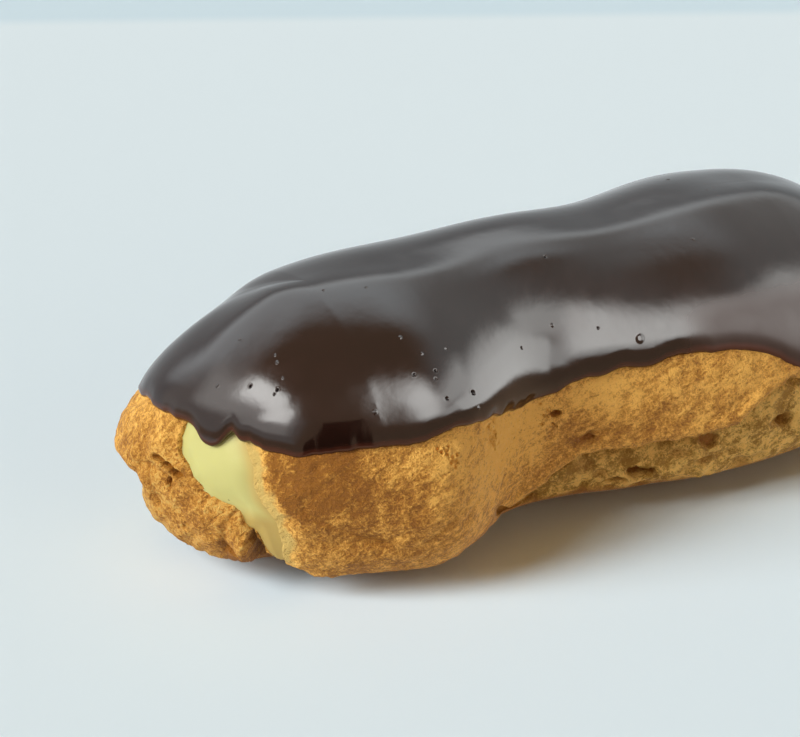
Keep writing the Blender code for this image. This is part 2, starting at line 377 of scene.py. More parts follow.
def link(name, built):
    """Link the sheet as an object, with its marks as vertex attributes."""
    bmesh.ops.recalc_face_normals(built, faces=built.faces)
    mesh = bpy.data.meshes.new(name)
    built.to_mesh(mesh)
    built.free()
    for label in ("station", "level", "rim"):
        mesh.attributes.remove(mesh.attributes[label])
    mesh.shade_smooth()
    item = bpy.data.objects.new(name, mesh)
    bpy.context.scene.collection.objects.link(item)
    return item


# ---------------------------------------------------------------- torn and baked detail of the crust

# Many of the places in the tables of this section, and most in PITS and RIDGE, were worked out by a separate
# program

# Hills and dents as (station, spread, height, spread in height, size)
LUMPS = (
    (0.0152, 0.0022, 0.0105, 0.0040, 0.0012),
    (0.0088, 0.0024, 0.0120, 0.0040, 0.0006),
    (0.0155, 0.0040, 0.0020, 0.0030, -0.0024),
    (0.0222, 0.0032, 0.0020, 0.0034, -0.0026),
    (0.0010, 0.0050, 0.0232, 0.0024, 0.0007),
    (-0.0036, 0.0012, 0.0185, 0.0020, -0.0006),
    (-0.0030, 0.0016, 0.0130, 0.0040, 0.0005),
    (0.0010, 0.0030, 0.0180, 0.0014, -0.0006),
    (0.0330, 0.0050, 0.0120, 0.0014, -0.0005),
    (0.0370, 0.0060, 0.0085, 0.0016, 0.0005),
    (0.0885, 0.0060, 0.0072, 0.0014, 0.0009),
    (0.0945, 0.0040, 0.0092, 0.0014, 0.0008),
    (0.0740, 0.0040, 0.0092, 0.0016, 0.0007),
    (-0.0760, 0.0070, 0.0080, 0.0018, 0.0008),
    (-0.1030, 0.0060, 0.0070, 0.0016, 0.0009),
    (0.1280, 0.0060, 0.0080, 0.0018, 0.0008),
)

# Holes as (station, half length, height, half height, depth)
HOLES = (
    (0.0718, 0.0008, 0.0213, 0.0005, 0.0012),
    (0.0832, 0.0016, 0.0068, 0.0006, 0.0022),
    (0.0862, 0.0022, 0.0080, 0.0009, 0.0024),
    (0.0680, 0.0014, 0.0073, 0.0004, 0.0014),
    (0.0975, 0.0016, 0.0115, 0.0011, 0.0011),
    (0.1106, 0.0018, 0.0128, 0.0014, 0.0030),
    (-0.0004, 0.0013, 0.0202, 0.0005, 0.0010),
    (0.0012, 0.0012, 0.0196, 0.0006, 0.0014),
    (0.0029, 0.0013, 0.0188, 0.0007, 0.0014),
    (0.0015, 0.0006, 0.0165, 0.0009, 0.0012),
    (0.0040, 0.0004, 0.0100, 0.0004, 0.0008),
    (0.0132, 0.0016, 0.0083, 0.0008, 0.0006),
    (0.0772, 0.0019, 0.0163, 0.0005, 0.0008),
    (-0.0480, 0.0016, 0.0090, 0.0009, 0.0022),
    (-0.0690, 0.0012, 0.0105, 0.0010, 0.0018),
    (-0.0880, 0.0022, 0.0082, 0.0008, 0.0024),
    (-0.1180, 0.0015, 0.0110, 0.0012, 0.0026),
    (0.1330, 0.0013, 0.0095, 0.0010, 0.0020),
    (0.1500, 0.0018, 0.0085, 0.0009, 0.0022),
)

# Creases and torn edges as (half width, depth, step, painted shade, line of (station, height)): the step is
# how much the side above the line stands proud of the side below it, and the painted shade darkens the groove
CREASES = (
    (0.0004, 0.0004, 0.0, 0.7, ((-0.0027, 0.0185), (-0.0023, 0.0160), (-0.0016, 0.0135), (-0.0008, 0.0115))),
    (0.0005, 0.0005, 0.0, 0.5, ((0.0145, 0.0153), (0.0124, 0.0134), (0.0121, 0.0111), (0.0112, 0.0078))),
    (0.0009, 0.0003, 0.0, 0.25, ((-0.0048, 0.0250), (-0.0043, 0.0227), (-0.0036, 0.0205))),
    (0.0008, 0.0002, 0.0, 0.25, ((0.0004, 0.0250), (0.0006, 0.0237), (0.0010, 0.0222))),
    (0.0005, 0.0002, 0.0003, 0.2, ((-0.0044, 0.0178), (-0.0020, 0.0188), (0.0006, 0.0178), (0.0030, 0.0172))),
    (0.0005, 0.0002, 0.0, 0.15, ((0.0050, 0.0172), (0.0072, 0.0150), (0.0092, 0.0125), (0.0098, 0.0095))),
    (0.0005, 0.0002, 0.0, 0.15, ((0.0012, 0.0140), (0.0036, 0.0122), (0.0050, 0.0100))),
    (0.0004, 0.0003, 0.0006, 0.5, ((0.0215, 0.0082), (0.0232, 0.0062), (0.0262, 0.0048), (0.0300, 0.0044))),
    (0.0005, 0.0003, 0.0, 0.25, ((0.0262, 0.0170), (0.0300, 0.0150), (0.0340, 0.0128), (0.0385, 0.0108))),
    (
        0.0005, 0.0003, 0.0, 0.25,
        ((0.0370, 0.0119), (0.0407, 0.0096), (0.0445, 0.0113), (0.0480, 0.0143), (0.0509, 0.0166)),
    ),
    (0.0005, 0.0002, 0.0, 0.2, ((0.0285, 0.0120), (0.0330, 0.0098), (0.0375, 0.0080))),
    (0.0004, 0.0002, 0.0, 0.2, ((0.0500, 0.0128), (0.0530, 0.0150), (0.0560, 0.0160))),
    (0.0003, 0.0003, 0.0004, 0.5, ((0.0742, 0.0160), (0.0757, 0.0164), (0.0773, 0.0171), (0.0790, 0.0174))),
    (
        0.0004, 0.0004, 0.0006, 0.4,
        ((0.0876, 0.0083), (0.0897, 0.0069), (0.0914, 0.0063), (0.0931, 0.0077), (0.0945, 0.0089)),
    ),
    (0.0004, 0.0003, 0.0, 0.3, ((0.0700, 0.0088), (0.0725, 0.0078), (0.0752, 0.0086), (0.0790, 0.0094))),
    (0.0004, 0.0003, 0.0, 0.3, ((0.0960, 0.0100), (0.0995, 0.0086), (0.1030, 0.0095))),
)

# Clusters of fine pores in the skin as (count, width, line of two (station, height))
PORE_CLUSTERS = (
    (26, 0.0005, ((0.0474, 0.0258), (0.0493, 0.0228))),
    (16, 0.0005, ((0.0572, 0.0240), (0.0587, 0.0205))),
    (12, 0.0012, ((0.0560, 0.0245), (0.0600, 0.0238))),
    (10, 0.0010, ((0.0690, 0.0222), (0.0715, 0.0213))),
    (14, 0.0012, ((-0.0400, 0.0220), (-0.0440, 0.0190))),
    (14, 0.0012, ((-0.0900, 0.0230), (-0.0960, 0.0200))),
)
PORE_RADIUS = 0.00026
PORE_DEPTH = 0.00045

# Outlines in the burst's end as (across, height), the same way round: the open custard, and the dark
# slit between the lobe and the tongue of custard
OPENING = (
    (-0.0076, 0.0290),
    (-0.0089, 0.0262),
    (-0.0091, 0.0240),
    (-0.0082, 0.0219),
    (-0.0066, 0.0208),
    (-0.0058, 0.0196),
    (-0.0056, 0.0191),
    (-0.0040, 0.0181),
    (-0.0025, 0.0171),
    (-0.0006, 0.0164),
    (0.0017, 0.0161),
    (0.0030, 0.0155),
    (0.0034, 0.0136),
    (0.0044, 0.0126),
    (0.0054, 0.0124),
    (0.0060, 0.0106),
    (0.0066, 0.0086),
    (0.0076, 0.0070),
    (0.0090, 0.0078),
    (0.0092, 0.0110),
    (0.0090, 0.0136),
    (0.0082, 0.0156),
    (0.0069, 0.0171),
    (0.0058, 0.0184),
    (0.0050, 0.0205),
    (0.0045, 0.0227),
    (0.0036, 0.0245),
    (0.0022, 0.0265),
    (0.0000, 0.0290),
)
SLIT = (
    (0.0049, 0.0128),
    (0.0041, 0.0108),
    (0.0043, 0.0092),
    (0.0040, 0.0078),
    (0.0030, 0.0064),
    (0.0026, 0.0040),
    (0.0030, 0.0000),
    (0.0092, 0.0000),
    (0.0094, 0.0040),
    (0.0084, 0.0058),
    (0.0072, 0.0071),
    (0.0063, 0.0086),
    (0.0058, 0.0105),
)

# Middle of the opening as (height, across)
MIDDLE = (
    (0.0070, 0.0083),
    (0.0086, 0.0079),
    (0.0124, 0.0073),
    (0.0155, 0.0056),
    (0.0181, 0.0010),
    (0.0219, -0.0018),
    (0.0290, -0.0038),
)
BROAD = 0.0120
LUMP_SIZE = 0.00028
SHOULDER_SIDES = (0.0016, 0.0026)
VALLEY_DEPTH = 0.0075
VALLEY_WIDTH = 0.0012
SLIT_DEPTH = 0.0080
FOOT_TUCK = 0.0024
FOOT_TALL = 0.0052
SKIN_START = 0.050
LIP_RAGGED = 0.0005
LIP_BULGE = 0.00045
LIP_HOLLOW = 0.00100
LIP_LIFT = 0.0006
FOOT_RAGGED = 0.0006
STREAK_SLOPE = np.radians(34.0)
CRUMB_ROUGHNESS = 0.00060
BLISTER_DEPTH = 0.00085
# Painted shade: the skin is darkened towards the floor, over this band of heights
BASE_SHADE = 0.9
BASE_SHADE_BAND = (0.0008, 0.0052)

# Where the skin is lighter (+) or darker (-), as (station, spread, height, spread in height, tone)
TONES = (
    (0.0290, 0.0090, 0.0225, 0.0080, -1.15),
    (0.0380, 0.0100, 0.0110, 0.0060, -0.40),
    (0.0480, 0.0060, 0.0235, 0.0030, 0.45),
    (0.0600, 0.0080, 0.0200, 0.0065, 0.90),
    (0.0800, 0.0140, 0.0235, 0.0030, 0.50),
    (0.0860, 0.0120, 0.0170, 0.0025, -0.20),
    (0.1040, 0.0080, 0.0245, 0.0040, 0.40),
    (0.0000, 0.0080, 0.0150, 0.0070, -0.30),
    (0.0105, 0.0050, 0.0110, 0.0050, -0.20),
    (-0.0080, 0.0060, 0.0200, 0.0050, -0.20),
    (0.0130, 0.0036, 0.0062, 0.0030, -1.00),
    (0.0220, 0.0022, 0.0180, 0.0080, 0.20),
    (-0.0400, 0.0120, 0.0180, 0.0060, -0.25),
    (-0.1000, 0.0150, 0.0200, 0.0060, -0.25),
    (0.1350, 0.0100, 0.0180, 0.0060, -0.25),
)


def line_distance(spot, line):
    """Distance from places (..., 2) to a line of points, and the height above it in the second axis."""
    nearest = np.full(spot.shape[:-1], np.inf)
    above = np.zeros(spot.shape[:-1])
    corners = np.array(line)
    for start, end in zip(corners, corners[1:]):
        edge = end - start
        share = np.clip((spot - start) @ edge / (edge @ edge), 0.0, 1.0)
        away = spot - start - share[..., None] * edge
        apart = np.linalg.norm(away, axis=-1)
        closer = apart < nearest
        above = np.where(closer, away[..., 1], above)
        nearest = np.where(closer, apart, nearest)
    return nearest, above


def end_view(points):
    """Places (across, height) as seen along the burst's direction, and how far they face it."""
    x = points[..., 0] - SPINE_X
    y = points[..., 1] - SPINE_Y
    across = x * -np.sin(BURST_ANGLE) + y * np.cos(BURST_ANGLE) - BURST_ACROSS
    facing = x * np.cos(BURST_ANGLE) + y * np.sin(BURST_ANGLE)
    return np.stack([across, points[..., 2]], axis=-1), facing


def right_share(spot):
    """How far places (across, height) lie on the right half of the opening, 0..1."""
    heights, middles = np.transpose(MIDDLE)
    return ramp(spot[..., 0] - np.interp(spot[..., 1], heights, middles), -0.0015, 0.0015)


def outline_distance(points, outline):
    """Distance outside a closed outline in the burst's end, less than 0 inside."""
    spot, facing = end_view(points)
    closed = outline + (outline[0],)
    nearest, _ = line_distance(spot, closed)
    inside = np.zeros(nearest.shape, bool)
    for (left, low), (right, high) in zip(closed, closed[1:]):
        crosses = (low > spot[..., 1]) != (high > spot[..., 1])
        meets = left + (right - left) * (spot[..., 1] - low) / (high - low or 1.0)
        inside ^= crosses & (spot[..., 0] < meets)
    return np.where(facing > BURST_FRONT, np.where(inside, -nearest, nearest), 1.0)


def lumps(points):
    """Broad unevenness of the crust."""
    return LUMP_SIZE * fractal(points, BROAD, 2, 21)


def crease_relief(station, height):
    """Relief of the creases and torn edges, and how much painted shade each place in one gets, 0..1."""
    relief = np.zeros(station.shape)
    dark = np.zeros(station.shape)
    spot = np.stack([station, height], axis=-1)
    flat = np.stack([station, height, np.zeros(station.shape)], axis=-1)
    ragged = np.stack([fractal(flat, 0.0016, 2, 31), fractal(flat, 0.0016, 2, 33)], axis=-1)
    for width, depth, step, painted_shade, line in CREASES:
        near = np.abs(station - np.mean([place for place, _ in line])) < 0.0120
        apart, above = line_distance(spot[near] + 0.0003 * ragged[near], line)
        groove = bump(apart, 0.0, width)
        fading = np.exp(-apart / (4.0 * width)) * ramp(apart, 0.0, 0.5 * width)
        proud = np.where(above > 0.0, 1.0, -0.6) * fading
        relief[near] += step * proud - depth * groove
        dark[near] = np.maximum(dark[near], painted_shade * groove)
    return relief, dark


def hole_relief(station, height):
    """Depth of the holes, and how far each place lies inside one, 0..1, which sets the painted shade in them.
    """
    relief = np.zeros(station.shape)
    hollow_shade = np.zeros(station.shape)
    spot = np.stack([station, height, np.zeros(station.shape)], axis=-1)
    ragged = 0.35 * fractal(spot, 0.0011, 2, 37)
    for place, along, middle, tall, depth in HOLES:
        apart = np.hypot((station - place) / along, (height - middle) / tall) + ragged
        inside = 1.0 - ramp(apart, 0.55, 1.15)
        relief = np.minimum(relief, -depth * inside)
        hollow_shade = np.maximum(hollow_shade, inside)
    return relief, hollow_shade


def cluster_pores():
    """Places of the fine pores as (station, height, radius)."""
    draw = np.random.default_rng(5)
    found = []
    for count, width, (start, end) in PORE_CLUSTERS:
        for share in draw.random(count):
            across = draw.normal(0.0, width, 2)
            radius = PORE_RADIUS * draw.uniform(0.5, 1.3)
            station = start[0] + (end[0] - start[0]) * share + across[0]
            found.append((station, start[1] + (end[1] - start[1]) * share + across[1], radius))
    return found


def pore_relief(station, height):
    """Depth of the fine pores."""
    relief = np.zeros(station.shape)
    for place, middle, radius in cluster_pores():
        near = np.abs(station - place) < 3 * radius
        apart = np.hypot(station[near] - place, height[near] - middle) / radius
        relief[near] = np.minimum(relief[near], -PORE_DEPTH * (1.0 - ramp(apart, 0.45, 1.1)))
    return relief


def dressed_crust(station, level):
    """Points of the crust with all its detail, and the marks that colour it, some of them painted shade."""
    around = np.stack([station, np.zeros(station.shape), np.zeros(station.shape)], axis=-1)
    line = lip_height(station) + LIP_RAGGED * fractal(around, 0.0040, 3, 41)
    plain = crust(station, level, lip=line)
    height = plain[..., 2]
    strength = tear_strength(station)

    torn = strength * (1.0 - ramp(height, line - 0.0011, line - 0.0002))
    foot_line = TEAR_FOOT + FOOT_RAGGED * fractal(around, 0.0060, 2, 43)
    crumb = torn * ramp(height, foot_line - 0.0004, foot_line + 0.0008)
    uncovered = ramp(level, 0.26, 0.33)
    burst, facing = end_view(plain)
    lobe = ramp(-station, -0.0190, -0.0150) * ramp(station, -0.0150, -0.0040) * ramp(height, 0.0240, 0.0190)

    fine = 0.00014 * fractal(plain, 0.0036, 2, 51) + 0.00009 * fractal(plain, 0.0012, 2, 53)
    along = station * np.cos(STREAK_SLOPE) + height * np.sin(STREAK_SLOPE)
    side = height * np.cos(STREAK_SLOPE) - station * np.sin(STREAK_SLOPE)
    streaks = np.stack([along / 5.0, side, np.zeros(station.shape)], axis=-1)
    fine = fine + 0.00011 * fractal(streaks, 0.0010, 2, 57)
    fine = fine - 0.00022 * pores(plain, 0.0026, 61, 0.12)
    across, up = burst[..., 0], burst[..., 1]
    flow = np.stack([(across + up) / 4.0, across - up, np.zeros(station.shape)], axis=-1)
    layers = fractal(flow, 0.0042, 3, 63) * 2.2
    ledge = np.floor(layers) + ramp(layers - np.floor(layers), 0.30, 0.70)
    fine = fine + lobe * (0.00011 * ledge + 0.00014 * fractal(flow, 0.0011, 2, 67))
    relief = lumps(plain) + uncovered * (1.0 - torn) * fine

    relief = relief + strength * LIP_BULGE * bump(height, line + 0.0009, 0.0011)
    relief = relief - strength * LIP_HOLLOW * bump(height, line - 0.0017, 0.0009)
    blisters = pores(plain * np.array([0.6, 0.6, 1.0]), 0.0026, 73, 0.6)
    rough = CRUMB_ROUGHNESS * fractal(plain, 0.0048, 3, 71) - BLISTER_DEPTH * blisters
    rough = rough - 0.00045 * np.abs(noise(plain, 0.0022, 79)) + 0.00014 * fractal(plain, 0.0008, 2, 83)
    relief = relief + crumb * rough
    relief = relief + sum(
        size * bump(station, place, wide) * bump(height, middle, tall)
        for place, wide, middle, tall, size in LUMPS
    )
    crease, dark = crease_relief(station, height)
    hole, inside = hole_relief(station, height)
    relief = relief + crease + hole + pore_relief(station, height)

    apart = outline_distance(plain, OPENING) + 0.00016 * fractal(plain, 0.0014, 2, 91)
    slit = outline_distance(plain, SLIT) + 0.00020 * fractal(plain, 0.0016, 2, 93)
    right = right_share(burst)
    width = SHOULDER_SIDES[0] + (SHOULDER_SIDES[1] - SHOULDER_SIDES[0]) * right
    shoulder = np.exp(-((np.maximum(apart, 0.0) / width) ** 2))
    valley = ramp(-apart, -0.0001, VALLEY_WIDTH)
    cleft = ramp(-slit, -0.0003, 0.0008) * (1.0 - ramp(-apart, -0.0004, 0.0002))
    relief = relief - SHOULDER_DEPTH * shoulder * (0.45 - 0.10 * right) - VALLEY_DEPTH * valley
    relief = relief - SLIT_DEPTH * cleft * (1.0 - valley)

    relief = relief * ramp(height, 0.0, 0.0012)
    relief = np.where(height > glaze_edge(station) + 0.0004, np.minimum(relief, 0.0), relief)

    points = plain + normals(station, level) * relief[..., None]
    tuck = FOOT_TUCK * (1.0 + 0.3 * strength) * (1.0 - ramp(height, 0.0, FOOT_TALL))
    _, dx, dy = plan_frame(station)
    points[..., 0] = points[..., 0] - tuck * dx
    points[..., 1] = points[..., 1] - tuck * dy
    points[..., 2] = points[..., 2] + LIP_LIFT * strength * bump(height, line - 0.0009, 0.0006)
    smear_noise = 0.0009 * fractal(plain, 0.0018, 3, 95)
    smear = right * (1.0 - ramp(apart + smear_noise, 0.0004, 0.0024)) * ramp(height, 0.0050, 0.0080)
    edge_brown = bump(apart, 0.0036, 0.0010) * right * ramp(height, 0.0150, 0.0190)
    tone = sum(
        size * bump(station, place, wide) * bump(height, middle, tall)
        for place, wide, middle, tall, size in TONES
    )
    tone = tone - 0.6 * edge_brown + 0.5 * right * bump(apart, 0.0014, 0.0012)
    # Painted shade: the skin is darkened towards the floor
    tone = tone - BASE_SHADE * (1.0 - ramp(height, *BASE_SHADE_BAND))
    # Some marks carry painted shade: the darkest part of the foot, the holes, blister pits and slit, the
    # creases, and a band just under the lip
    marks = {
        "crumb": crumb,
        "foot": torn * (1.0 - crumb),
        "hollow_shade": np.clip(np.maximum(inside, cleft) + 0.5 * crumb * blisters, 0.0, 1.0),
        "crease": np.clip(dark + 0.5 * strength * bump(height, line - 0.0015, 0.0007), 0.0, 1.0),
        "smear": smear,
        "slit": cleft,
        "flaky": lobe,
        "tone": 0.5 + 0.5 * np.clip(tone, -1.0, 1.0),
    }
    return points, marks


# ---------------------------------------------------------------- crust

CRUST_FINE = 0.00033
CRUST_COARSE = 0.00085


def crust_spacing(station):
    """Finer over the burst end and the front."""
    back = np.maximum(ramp(-station, 0.030, 0.060), ramp(station, 0.118, 0.140))
    return CRUST_FINE + (CRUST_COARSE - CRUST_FINE) * back


def make_choux():
    """Outer skin of the shell with its torn detail, closed at its top and bottom."""
    walk = stations(crust_spacing)
    rim = level_at(walk, EDGE_HEIGHT + hills(walk, EDGE_WAVES)) - 0.040
    lip = level_at(walk, lip_height(walk) + 0.0016)
    under = level_at(walk, lip_height(walk) - LIP_DROP - 0.0010)
    foot = level_at(walk, np.full(walk.shape, 0.0010))
    rows = [np.full(walk.shape, SKIN_START)] + spread(SKIN_START, rim, 5) + spread(rim, lip, 34)
    rows += spread(lip, under, 14) + spread(under, foot, 30) + spread(foot, 0.93, 3)
    built, rings = sheet_of(rows, walk)
    built.faces.new(rings[0])
    built.faces.new(list(reversed(rings[-1])))

    def by_the_burst(station, level):
        point = crust(station, level)
        apart = outline_distance(point, OPENING)
        slit = outline_distance(point, SLIT)
        return (np.abs(apart) < 0.0014) | (slit < 0.0010) & (point[..., 2] > 0.002)

    def by_the_holes(station, level):
        height = crust(station, level)[..., 2]
        close = np.zeros(station.shape, bool)
        for place, along, middle, tall, _ in HOLES:
            close |= np.hypot((station - place) / (along + 0.0006), (height - middle) / (tall + 0.0006)) < 1.0
        return close

    def by_the_pores(station, level):
        height = crust(station, level)[..., 2]
        close = np.zeros(station.shape, bool)
        for place, middle, radius in cluster_pores():
            close |= np.hypot(station - place, height - middle) < radius + 0.00025
        return close

    refine(built, by_the_burst, 1)
    refine(built, by_the_holes, 1)
    refine(built, by_the_pores, 2)
    station = read_layer(built, "station")
    level = read_layer(built, "level")
    points, marks = dressed_crust(station, level)
    points[:, 2] = np.where(points[:, 2] < 0.0003, 0.0, points[:, 2])
    place(built, points, marks)
    return link("choux_crust", built)


# ---------------------------------------------------------------- custard

CUSTARD_EDGES = (0.0010, 0.0009)
CUSTARD_SINK = 0.0004
SPECK = (0.0011, 0.0170)


def make_custard():
    """Core that runs through the shell and swells out through the burst."""
    walk = stations(lambda station: 0.0004 + 0.0016 * ramp(np.abs(station), 0.030, 0.050))
    top, burst_top, burst_foot, foot = (np.full(walk.shape, level) for level in (0.03, 0.28, 0.68, 0.97))
    rows = [top] + spread(top, burst_top, 8) + spread(burst_top, burst_foot, 72) + spread(burst_foot, foot, 6)
    built, rings = sheet_of(rows, walk)
    built.faces.new(rings[0])
    built.faces.new(list(reversed(rings[-1])))
    station = read_layer(built, "station")
    level = read_layer(built, "level")
    outer = crust(station, level)
    inner = crust(station, level, inset=WALL, relief=False)
    spot, _ = end_view(outer)
    right = right_share(spot)
    apart = outline_distance(outer, OPENING)
    edge = CUSTARD_EDGES[0] + (CUSTARD_EDGES[1] - CUSTARD_EDGES[0]) * right
    depth = CUSTARD_SINK + (edge - CUSTARD_SINK) * ramp(apart, -0.0026 - 0.0012 * right, 0.0)
    depth = depth + (WALL - depth) * ramp(apart, 0.0004, 0.0016)
    slit = outline_distance(outer, SLIT)
    depth = depth + (WALL - depth) * ramp(-slit, -0.0006, 0.0002) * ramp(apart, -0.0002, 0.0003)
    depth = depth - 0.00020 * fractal(outer, 0.0070, 2, 103) * ramp(-apart, 0.0, 0.0015)
    swell = outer - normals(station, level) * depth[:, None]
    share = (1.0 - ramp(apart, 0.0014, 0.0034))[:, None]
    tongue = ramp(-spot[:, 1], -0.0172, -0.0140)
    brown = np.maximum(right * ramp(apart, -0.0022, 0.0002), tongue)
    # Painted shade where the custard meets the slit, laid on with the vanilla speck's colour
    slit_shade = ramp(-slit, -0.0005, 0.0003)
    speck_and_shade = bump(np.hypot(spot[:, 0] - SPECK[0], spot[:, 1] - SPECK[1]), 0.0, 0.00022)
    place(built, inner + (swell - inner) * share, {"brown": brown, "speck_and_shade": np.maximum(speck_and_shade, slit_shade)})
    return link("custard_filling", built)


# ---------------------------------------------------------------- glaze

GLAZE_FINE = 0.00042
GLAZE_RIM = 0.010
GLAZE_UNDER = 0.002
LOW_SHARE = 0.25
EDGE_THICKNESS = 0.0011
EDGE_SHARE = 0.72
EDGE_ROUNDING = 0.025
RIM_DROP = 0.0012
THINNING = 0.070
EMBED = 0.0005
PIT_SCALE = 0.72
PIT_RING = 0.05
LEVEL_LENGTH = 0.075
RIDGE_SIZE = 0.00026
HOLLOW_SIZE = 0.00034
POUR_WAVE = 0.00012
DULL_START = (0.0900, 0.1000)
DULL_END = (0.1250, 0.1400)
DULL_ROUGHNESS = 0.42

# Pits (-) and bubbles (+) as (station, level, radius, size)
PITS = (
    (0.0144, 0.250, 0.00034, -0.00045),
    (0.0207, 0.250, 0.00036, -0.00045),
    (0.0202, 0.258, 0.00026, -0.00030),
    (0.0194, 0.200, 0.00034, 0.00022),
    (0.0184, 0.187, 0.00024, 0.00016),
    (0.0216, 0.228, 0.00024, 0.00014),
    (0.0400, 0.053, 0.00024, -0.00030),
    (0.0457, 0.077, 0.00024, -0.00030),
    (0.0053, 0.173, 0.00022, -0.00025),
    (0.0479, 0.221, 0.00026, 0.00018),
    (0.0457, 0.251, 0.00034, -0.00035),
    (0.0487, 0.253, 0.00034, -0.00040),
    (0.0483, 0.265, 0.00026, -0.00030),
    (0.0489, 0.299, 0.00042, -0.00040),
    (0.0389, 0.300, 0.00040, 0.00024),
    (0.0531, 0.304, 0.00055, -0.00050),
    (0.0535, 0.331, 0.00034, 0.00022),
    (0.0652, 0.280, 0.00034, -0.00035),
    (0.0725, 0.264, 0.00045, 0.00024),
    (0.0798, 0.282, 0.00030, -0.00030),
    (0.0758, 0.126, 0.00036, -0.00045),
    (-0.1073, 0.066, 0.00040, -0.00045),
    (0.1098, 0.022, 0.00030, -0.00030),
    (0.1009, 0.140, 0.00030, 0.00016),
    (0.0858, 0.308, 0.00110, 0.00014),
    (0.0069, 0.265, 0.00030, 0.00014),
    (0.0461, 0.186, 0.00040, 0.00012),
    (0.0516, 0.226, 0.00024, -0.00020),
    (-0.0450, 0.220, 0.00032, -0.00035),
    (-0.0700, 0.180, 0.00030, -0.00035),
    (-0.0950, 0.250, 0.00036, 0.00018),
    (-0.1200, 0.210, 0.00030, -0.00035),
    (0.1350, 0.200, 0.00032, -0.00035),
)

# Line of the low ridge along the crown, as (x, y)
RIDGE = (
    (-0.0546, 0.0009),
    (-0.0430, 0.0017),
    (-0.0388, -0.0015),
    (-0.0260, -0.0047),
    (-0.0094, -0.0057),
    (0.0017, -0.0052),
    (0.0167, -0.0047),
    (0.0260, -0.0045),
    (0.0369, -0.0026),
)


def glaze_edge(station, ragged=0.00028):
    """Height of the lower edge of the glaze."""
    around = np.stack([station, np.zeros(station.shape), np.zeros(station.shape)], axis=-1)
    return EDGE_HEIGHT + hills(station, EDGE_WAVES) + ragged * fractal(around, 0.0036, 3, 111)


def glaze_relief(point):
    """Ridge, hollows and slow waves of the poured glaze."""
    places, sides = np.transpose(RIDGE)
    beside = point[..., 1] - np.interp(point[..., 0], places, sides)
    within = ramp(point[..., 0], -0.0600, -0.0520) * (1.0 - ramp(point[..., 0], 0.0400, 0.0520))
    ridge = RIDGE_SIZE * bump(beside, -0.0005, 0.0032) - HOLLOW_SIZE * bump(beside, 0.0052, 0.0042)
    stretched = point / np.array([2.6, 1.0, 1.0])
    upper = ramp(point[..., 2], 0.0330, 0.0400)
    return within * ridge + POUR_WAVE * fractal(stretched, 0.0090, 2, 121) * upper


def make_glaze():
    """Poured cap with a rounded, wavy edge, pits and bubbles."""
    half = stations(lambda station: np.full(station.shape, GLAZE_FINE))
    count = len(half)
    side = np.linspace(0.0, HALF_LOOP, count // 2 + 1)
    walk = np.concatenate([side, -side[-2:0:-1]])
    edge = level_at(walk, glaze_edge(walk))
    rim = edge - GLAZE_RIM
    turns = np.linspace(np.pi / 2, -np.pi / 2, 11)[1:-1]
    rows = [np.zeros(walk.shape)] + spread(0.0, rim, 64)
    rims = [np.pi / 2] * len(rows)
    for turn in turns:
        back = GLAZE_RIM * np.cos(turn) if turn > 0.0 else GLAZE_RIM - GLAZE_UNDER * (1.0 - np.cos(turn))
        rows.append(rim + back)
        rims.append(turn)
    below = [np.zeros(walk.shape)] + spread(0.0, rim + GLAZE_RIM - GLAZE_UNDER, 12)
    rows += list(reversed(below))
    rims += [-np.pi / 2] * len(below)
    built, _ = sheet_of(rows, walk, rims)
    pits = np.array(PITS)

    def by_the_pits(station, level):
        close = np.zeros(station.shape, bool)
        for place, middle, radius, _ in PITS:
            apart = np.hypot(station - place, (level - middle) * LEVEL_LENGTH)
            close |= apart < radius * 1.8 + 0.0003
        return close

    refine(built, by_the_pits, 3)
    station = read_layer(built, "station")
    level = read_layer(built, "level")
    turn = read_layer(built, "rim")
    rim_here = level_at(station, glaze_edge(station)) - GLAZE_RIM
    point = crust(station, level)
    normal = normals(station, level)
    centres = crust(pits[:, 0], pits[:, 1])
    thickness = GLAZE_THICKNESS + hills(station, THIN_SPOTS) * np.clip(level / rim_here, 0.0, 1.0)
    even_rim = level_at(station, EDGE_HEIGHT - RIM_DROP + hills(station, BROAD_WAVES)) - GLAZE_RIM
    crown = np.clip((even_rim - level) / THINNING, 0.0, 1.0)
    near_edge = np.clip((rim_here - level) / EDGE_ROUNDING, 0.0, 1.0)
    thickness = EDGE_THICKNESS + (thickness - EDGE_THICKNESS) * crown * (2.0 - crown)
    thickness = thickness * (EDGE_SHARE + (1.0 - EDGE_SHARE) * near_edge * (2.0 - near_edge))
    thickness = thickness + glaze_relief(point)
    for centre, (_, _, radius, size) in zip(centres, PITS):
        apart = np.linalg.norm(point - centre, axis=-1) / (PIT_SCALE * radius)
        thickness = thickness + size * (1.0 - ramp(apart, 0.35, 1.0)) * (turn > 1.5)
        if size < 0.0:
            thickness = thickness - PIT_RING * size * bump(apart, 1.15, 0.30) * (turn > 1.5)
    inner = GAP - EMBED * ramp(level, rim_here - 0.03, rim_here)
    upper = LOW_SHARE + (1.0 - LOW_SHARE) * np.sin(turn)
    rise = np.where(turn > 0.0, upper, LOW_SHARE * (1.0 + np.sin(turn)))
    offset = inner + (thickness - inner) * rise
    thin = 1.0 - ramp(rim_here + GLAZE_RIM - level, 0.002, 0.022)
    far_front = ramp(station, *DULL_START) * (1.0 - ramp(station, *DULL_END))
    dull = far_front * ramp(level, 0.24, 0.30)
    place(built, point + normal * offset[:, None], {"thin": thin, "dull": dull})
    built.verts.ensure_lookup_table()
    last = (len(rows) - 1) * len(walk)
    ends = [built.verts[start + index] for start in (0, last) for index in range(len(walk))]
    bmesh.ops.remove_doubles(built, verts=ends, dist=WELD)
    return link("chocolate_glaze", built)


# ---------------------------------------------------------------- materials


